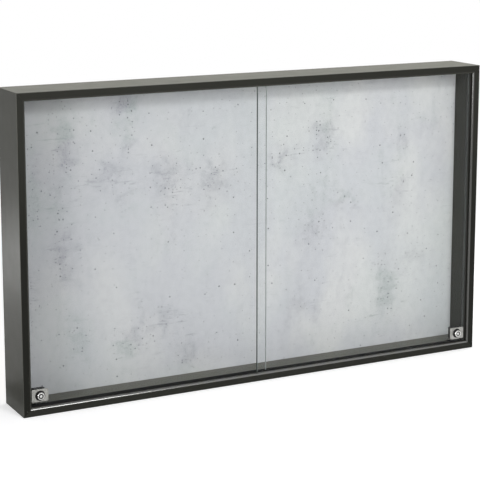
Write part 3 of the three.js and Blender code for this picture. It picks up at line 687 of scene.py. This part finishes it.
def extrusion(name, colour, roughness, along, metallic=0.0, gloss=0.5):
    """An extruded surface: fine die lines that run along the length, and slight clouds."""
    look, tree, shader = new_finish(name, colour, roughness, metallic, Specular_IOR_Level=gloss)
    across_scale = 2600
    along_scale = 6
    dark_share = 0.75
    light_share = 1.25
    cloud_share = 1.1
    line_scale = tuple(along_scale if axis == along else across_scale for axis in "XYZ")
    lines = pattern_noise(tree, line_scale, detail=2)
    clouds = pattern_noise(tree, 40, detail=3)
    shade = mixed(tree, lines, shade_of(colour, dark_share), shade_of(colour, light_share))
    tone = mixed(tree, clouds, shade, shade_of(colour, cloud_share))
    tree.links.new(tone, shader.inputs["Base Color"])
    uneven_roughness(tree, shader, lines, roughness - 0.06, roughness + 0.08)
    add_bump(tree, shader, lines, depth=0.00002, strength=0.4)
    return look


track_look = extrusion("track_plastic", track_colour, track_roughness, "X", gloss=0.12)
strip_look = extrusion("slip_strip", strip_colour, strip_roughness, "X", gloss=0.3)
channel_look = extrusion("anodised_channel", channel_colour, channel_roughness, "Z", channel_metallic)
channel_lip_highlight_look = extrusion("channel_lip_painted_highlight", channel_lip_highlight_colour, channel_roughness, "Z",
                                channel_metallic)
for level in ("bottom", "top"):
    finished_copy("track_" + level, [track_look], extrusion_edge)
for row in ("front", "rear"):
    finished_copy("run_strip_" + row, [strip_look], extrusion_edge)
for side in ("left", "right"):
    channel = finished_copy("side_channel_" + side, [channel_look, channel_lip_highlight_look], extrusion_edge)
    middle = sum(corner.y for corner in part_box("side_channel_" + side)) / 2
    for face in channel.data.polygons:
        # The rear lip's front faces take the painted highlight
        if face.normal.y < -lip_facing and face.center.y > middle:
            face.material_index = highlight_lip_part

# Locks: a nickelled plate with a tapered boss and a bright ring round the keyway, clamped to the
# glass by a black die-cast case behind it. The boss's side is painted black, a painted dark
# reflection, and the keyway's walls, floor and tumbler pins are darkened, painted shade. The key
# turns the plug, whose pin moves the bolt.
nickel_colour = (0.33, 0.33, 0.31)
nickel_roughness = 0.33
ring_colour = (0.7, 0.7, 0.68)
ring_roughness = 0.16
# Painted dark reflection on the boss's side and painted shade in the keyway
painted_dark_colour = (0.012, 0.012, 0.012)
casting_colour = (0.03, 0.03, 0.03)
gasket_colour = (0.014, 0.014, 0.014)
# Painted shade: the tumbler pins are coloured dark like the keyway around them
tumbler_painted_shade_colour = (0.16, 0.16, 0.15)
tumbler_roughness = 0.35
lock_edge = 0.00012
boss_height = 0.0056
post_tip = 0.0009
tumbler_count = 7
tumbler_sides = 12
tumbler_ring = 0.0038
tumbler_radius = 0.0007
tumbler_rise = 0.0014
tumbler_edge = 0.00015
keyway_depth = 0.0055


def plated(name, colour, roughness, mottle_share=0.3):
    """Plated metal: cloudy colour and gloss, and fine tumbling marks."""
    mark_share = 0.6
    look, tree, shader = new_finish(name, colour, roughness, metallic=1.0)
    mottle = pattern_noise(tree, 420, detail=4, roughness=0.6, distortion=0.5)
    marks = pattern_noise(tree, (2600, 2600, 700), detail=3)
    shade = mixed(tree, spread(tree, mottle, 0.35, 0.65), shade_of(colour, 1 - mottle_share),
                  shade_of(colour, 1 + mottle_share))
    tone = mixed(tree, spread(tree, marks, 0.55, 0.7, to_high=0.3), shade, shade_of(colour, mark_share))
    tree.links.new(tone, shader.inputs["Base Color"])
    uneven_roughness(tree, shader, mottle, roughness - 0.04, roughness + 0.08)
    add_bump(tree, shader, mottle, depth=0.00004, strength=0.3)
    return look


def settle(piece):
    """Puts the object's place and turn into its mesh."""
    only(piece)
    bpy.ops.object.transform_apply(location=True, rotation=True, scale=True)


def coated(name, colour, roughness, grain_scale, depth):
    """A black coat or rubber: dull clouds in its colour, and a fine grain in relief."""
    dark_share = 0.7
    light_share = 1.4
    look, tree, shader = new_finish(name, colour, roughness, Specular_IOR_Level=0.2)
    grain = pattern_noise(tree, grain_scale, detail=3)
    clouds = pattern_noise(tree, 90, detail=3)
    shade = mixed(tree, clouds, shade_of(colour, dark_share), shade_of(colour, light_share))
    tree.links.new(shade, shader.inputs["Base Color"])
    uneven_roughness(tree, shader, grain, roughness - 0.05, roughness + 0.08)
    add_bump(tree, shader, grain, depth, strength=0.5)
    return look


nickel = plated("satin_nickel", nickel_colour, nickel_roughness)
bright_ring = plated("bright_ring", ring_colour, ring_roughness, mottle_share=0.04)
# Painted shade on the tumbler pins
tumbler_painted_shade = plated("tumbler_painted_shade", tumbler_painted_shade_colour, tumbler_roughness)
# Black for the painted dark reflection on the boss's side and the painted shade in the keyway
painted_shade_and_dark_reflection = coated("black_painted_shade_and_reflection", painted_dark_colour, roughness=0.4, grain_scale=1500, depth=0.00002)
casting = coated("black_casting", casting_colour, roughness=0.5, grain_scale=1100, depth=0.00006)
gasket_rubber = coated("gasket_rubber", gasket_colour, roughness=0.62, grain_scale=1800, depth=0.00003)

ring_facing = 0.5
painted_dark_part = 1
ring_part = 2
for side in ("left", "right"):
    low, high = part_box("lock_front_" + side)
    axis = Vector(((low.x + high.x) / 2, low.y, (low.z + high.z) / 2))
    plate_front = low.y + boss_height
    front = finished_copy("lock_front_" + side, [nickel, painted_shade_and_dark_reflection, bright_ring], lock_edge)
    for face in front.data.polygons:
        # The boss's side and the bore wall take the painted dark reflection and shade
        if face.center.y <= plate_front - lock_edge:
            face.material_index = ring_part if -face.normal.y > ring_facing else painted_dark_part

    plug = finished_copy("lock_plug_" + side, [bright_ring, painted_shade_and_dark_reflection], lock_edge)
    for face in plug.data.polygons:
        # The keyway's floor and the post's side behind its tip take the painted shade
        face.material_index = 0 if face.center.y < axis.y + post_tip else painted_dark_part

    for index in range(tumbler_count):
        turn = (index + 0.5) * 2 * pi / tumbler_count
        place = axis + Vector((sin(turn) * tumbler_ring, keyway_depth, cos(turn) * tumbler_ring))
        bpy.ops.object.select_all(action="DESELECT")
        bpy.ops.mesh.primitive_cylinder_add(
            vertices=tumbler_sides, radius=tumbler_radius, depth=tumbler_rise * 2,
            location=place, rotation=(pi / 2, 0, 0))
        pin = bpy.context.object
        pin.name = "tumbler_%s_%d" % (side, index + 1)
        settle(pin)
        break_edges(pin, tumbler_edge)
        smooth(pin)
        pin.data.materials.append(tumbler_painted_shade)
        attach(pin, "plug_" + side)

    finished_copy("lock_gasket_" + side, [gasket_rubber], 0)
    finished_copy("lock_case_" + side, [casting], lock_edge)
    finished_copy("lock_bolt_" + side, [nickel], lock_edge)

# Keepers: a small nickelled steel block behind each lock, screwed to the bottom board. The bolt
# drops through its slot, and the one on the right is stepped to clear the track's rib.
keeper_edge = 0.0002
for side in ("left", "right"):
    finished_copy("keeper_" + side, [nickel], keeper_edge)

# Rear rails and mitre tongues: planed pine rails screwed in behind the panel stiffen the case and
# carry the hangers, and a beech tongue is glued into each mitre.
pine_colour = (0.68, 0.5, 0.3)
pine_ring_colour = (0.5, 0.3, 0.14)
beech_colour = (0.5, 0.31, 0.17)
beech_ring_colour = (0.4, 0.22, 0.11)
wood_roughness = 0.55
rail_edge = 0.0008
tongue_edge = 0.0003


def planed_wood(name, colour, ring_colour, along, ring_count):
    """Planed wood with its grain along one axis; ring_count is growth rings a metre across it."""
    squeeze = 0.05
    warp_scale = 40
    warp_swing = 6
    fibre_scale = 1500
    late_wood_power = 2.5
    fibre_share = 0.8
    look, tree, shader = new_finish(name, colour, wood_roughness, Specular_IOR_Level=0.3)
    warp_scales, fibre_scales = (
        tuple(squeeze * scale if axis == along else scale for axis in "XYZ")
        for scale in (warp_scale, fibre_scale)
    )
    warp = pattern_noise(tree, warp_scales, detail=3, roughness=0.5)
    here = add_node(tree, "TexCoord")
    across = add_node(tree, "SeparateXYZ", {0: here.outputs["Object"]})
    other = "Z" if along == "X" else "X"
    level = add_node(tree, "Math", {0: across.outputs[other], 1: across.outputs["Y"]},
                     operation="ADD").outputs[0]
    waves = add_node(tree, "Math", {0: times(tree, level, ring_count), 1: times(tree, warp, warp_swing)},
                     operation="ADD")
    rings = add_node(tree, "Math", {0: waves.outputs[0], 1: 1}, operation="PINGPONG").outputs[0]
    late_wood = add_node(tree, "Math", {0: rings, 1: late_wood_power}, operation="POWER").outputs[0]
    tone = mixed(tree, late_wood, colour, ring_colour)
    fibres = pattern_noise(tree, fibre_scales, detail=3)
    tone = mixed(tree, spread(tree, fibres, 0.5, 0.75, to_high=0.45), tone,
                 shade_of(ring_colour, fibre_share))
    tree.links.new(tone, shader.inputs["Base Color"])
    uneven_roughness(tree, shader, fibres, 0.5, 0.66)
    add_bump(tree, shader, fibres, depth=0.00008, strength=0.5)
    return look


pine = planed_wood("planed_pine", pine_colour, pine_ring_colour, "X", ring_count=130)
beech = planed_wood("planed_beech", beech_colour, beech_ring_colour, "Y", ring_count=300)
for level in ("bottom", "top"):
    finished_copy("rear_rail_" + level, [pine], rail_edge)
    for side in ("left", "right"):
        finished_copy("corner_spline_%s_%s" % (level, side), [beech], tongue_edge)

# Hanger plates: keyhole plates pressed from zinc-plated sheet, one near each end of the top rail.
# A screw in the wall goes in at the round mouth and the case drops onto its shank.
zinc_plate_colour = (0.62, 0.64, 0.66)
hanger_edge = 0.00015
zinc_plate = plated("zinc_plate", zinc_plate_colour, roughness=0.34, mottle_share=0.1)
for side in ("left", "right"):
    finished_copy("hanger_plate_" + side, [zinc_plate], hanger_edge)

# Wall bumpers: moulded black rubber pads stuck to the bottom rail, so that the case hangs plumb and
# does not mark the wall. Each has a moulded ring on the face that meets the wall.
bumper_colour = (0.02, 0.02, 0.021)
bumper_rim = 0.0022
bumper_sink = 0.0004
wall_facing = 0.99
bumper_rubber = coated("bumper_rubber", bumper_colour, roughness=0.68, grain_scale=900, depth=0.00006)
for side in ("left", "right"):
    bumper = finished_copy("wall_bumper_" + side, [bumper_rubber], 0)
    for face in bumper.data.polygons:
        face.select = face.normal.y > wall_facing
    only(bumper)
    bpy.ops.object.mode_set(mode="EDIT")
    bpy.ops.mesh.inset(thickness=bumper_rim)
    bpy.ops.transform.translate(value=(0, -bumper_sink, 0))
    bpy.ops.mesh.inset(thickness=bumper_rim)
    bpy.ops.transform.translate(value=(0, bumper_sink, 0))
    bpy.ops.object.mode_set(mode="OBJECT")
    smooth(bumper)

# Screws: plated steel with a cross recess, countersunk everywhere but in the rails, where the heads
# are domed and sit in counterbores. Each kind is made once, head up, and copied to its places.
screw_steel_colour = (0.5, 0.5, 0.48)
black_steel_colour = (0.06, 0.06, 0.062)
thread_root_share = 0.72
thread_pitch_share = 0.9
recess_reach_share = 0.62
recess_width_share = 0.2
recess_depth_share = 0.7
recess_end_share = 0.5
flank_share = 0.35
land_share = 0.15
cone_share = 0.85
point_length_share = 1.6
point_width_share = 0.12
blunt_length_share = 0.3
blunt_width_share = 0.7
head_sides = 24

# Rise and width of each step of a domed head
dome_shares = ((0.45, 1), (0.35, 0.82), (0.2, 0.6))

screw_steel = plated("screw_steel", screw_steel_colour, roughness=0.3)
black_steel = plated("black_screw_steel", black_steel_colour, roughness=0.4)


def pull_out(rise, size):
    """Extrudes the selected end by rise along Z, and makes it size times as wide."""
    bpy.ops.mesh.extrude_region_move(TRANSFORM_OT_translate={"value": (0, 0, rise)})
    bpy.ops.transform.resize(value=(size, size, 1))


def pick_end(top):
    """Selects the end face of an open-ended run of extrusions: its top or its bottom one."""
    mesh = bpy.context.edit_object
    bpy.ops.object.mode_set(mode="OBJECT")
    ends = sorted(mesh.data.polygons, key=lambda face: face.center.z)
    for part in (mesh.data.polygons, mesh.data.edges, mesh.data.vertices):
        for item in part:
            item.select = False
    ends[-1 if top else 0].select = True
    bpy.ops.object.mode_set(mode="EDIT")


def model_screw(name, look, head, head_height, shank, length, domed=False, pointed=True):
    """A screw that stands head up with the top of its head at the origin; sizes are in metres."""
    root = shank * thread_root_share
    pitch = shank * thread_pitch_share
    tip = shank * (point_length_share if pointed else blunt_length_share)
    bpy.ops.object.select_all(action="DESELECT")
    bpy.ops.mesh.primitive_cylinder_add(
        vertices=head_sides, radius=root, depth=pitch / 2,
        location=(0, 0, -head_height - pitch / 4))
    screw = bpy.context.object
    screw.name = name
    settle(screw)
    bpy.ops.object.mode_set(mode="EDIT")
    pick_end(True)
    if domed:
        pull_out(0, head / root)
        for rise_share, width_share in dome_shares:
            pull_out(head_height * rise_share, width_share)
    else:
        pull_out(head_height * cone_share, head / root)
        pull_out(head_height * (1 - cone_share), 1)
    pick_end(False)
    threaded = length - head_height - tip - pitch / 2
    turns = int(threaded / pitch)
    for _ in range(turns):
        for widening in (shank / root, root / shank):
            pull_out(-pitch * flank_share, widening)
            pull_out(-pitch * land_share, 1)
    pull_out(turns * pitch - threaded, 1)
    pull_out(-tip, point_width_share if pointed else blunt_width_share)
    bpy.ops.object.mode_set(mode="OBJECT")
    in_edit_mode(screw, (bpy.ops.mesh.normals_make_consistent, {"inside": False}))

    depth = head_height * recess_depth_share
    for turned in (0, pi / 2):
        bpy.ops.object.select_all(action="DESELECT")
        bpy.ops.mesh.primitive_cube_add(size=1, location=(0, 0, 0), rotation=(0, 0, turned))
        blade = bpy.context.object
        blade.scale = (head * recess_reach_share * 2, head * recess_width_share, depth * 2)
        settle(blade)
        bpy.ops.object.mode_set(mode="EDIT")
        pick_end(False)
        bpy.ops.transform.resize(value=(recess_end_share, recess_end_share, 1))
        bpy.ops.object.mode_set(mode="OBJECT")
        apply_modifier(screw, "BOOLEAN", object=blade, operation="DIFFERENCE")
        bpy.data.objects.remove(blade)
    smooth(screw)
    screw.data.materials.clear()
    screw.data.materials.append(look)
    return screw


head_up = Matrix.Identity(4)
head_down = Matrix.Rotation(pi, 4, "X")
head_to_back = Matrix.Rotation(-pi / 2, 4, "X")


def set_screws(pattern, nodes, turn):
    """A copy of the pattern in the place of each packed screw, its head to the side that turn says."""
    heading = turn @ Vector((0, 0, 1))
    for node in nodes:
        low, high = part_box(node)
        place = (low + high) / 2 + Vector(
            [axis * (top - bottom) / 2 for axis, bottom, top in zip(heading, low, high)])
        screw = bpy.data.objects.new(node + "_threaded", pattern.data.copy())
        scene.collection.objects.link(screw)
        screw.data.transform(Matrix.Translation(place) @ turn)
        stands_for(screw, node)
    bpy.data.objects.remove(pattern)


sides = ("left", "right")
thirds = ("left", "middle", "right")
track_screw = {"head": 0.0025, "head_height": 0.0011, "shank": 0.0013}
rail_screw = {"head": 0.004, "head_height": 0.0024, "shank": 0.002, "length": 0.0276, "domed": True}
hanger_screw = {"head": 0.003, "head_height": 0.0012, "shank": 0.0016, "length": 0.009}
keeper_screw = {"head": 0.0026, "head_height": 0.0015, "shank": 0.0013, "length": 0.014}
lock_screw = {"head": 0.0023, "head_height": 0.0012, "shank": 0.00125, "length": 0.0136, "pointed": False}
set_screws(model_screw("track_screw", black_steel, length=0.0078, **track_screw),
           ["track_screw_bottom_" + third for third in thirds], head_up)
set_screws(model_screw("track_screw_short", black_steel, length=0.0051, **track_screw),
           ["track_screw_top_" + third for third in thirds], head_down)
set_screws(model_screw("rail_screw_low", screw_steel, **rail_screw),
           ["rail_screw_bottom_" + side for side in sides], head_up)
set_screws(model_screw("rail_screw_high", screw_steel, **rail_screw),
           ["rail_screw_top_" + side for side in sides], head_down)
set_screws(model_screw("hanger_screw", screw_steel, **hanger_screw),
           ["hanger_screw_%s_%s" % (side, place) for side in sides for place in ("inner", "outer")],
           head_to_back)
set_screws(model_screw("keeper_screw", screw_steel, **keeper_screw),
           ["keeper_screw_%s_%s" % (side, place) for side in sides for place in ("inner", "outer")],
           head_up)
set_screws(model_screw("lock_screw", black_steel, **lock_screw),
           ["lock_screw_%s_%s" % (side, place) for side in sides for place in ("upper", "lower")],
           head_to_back)
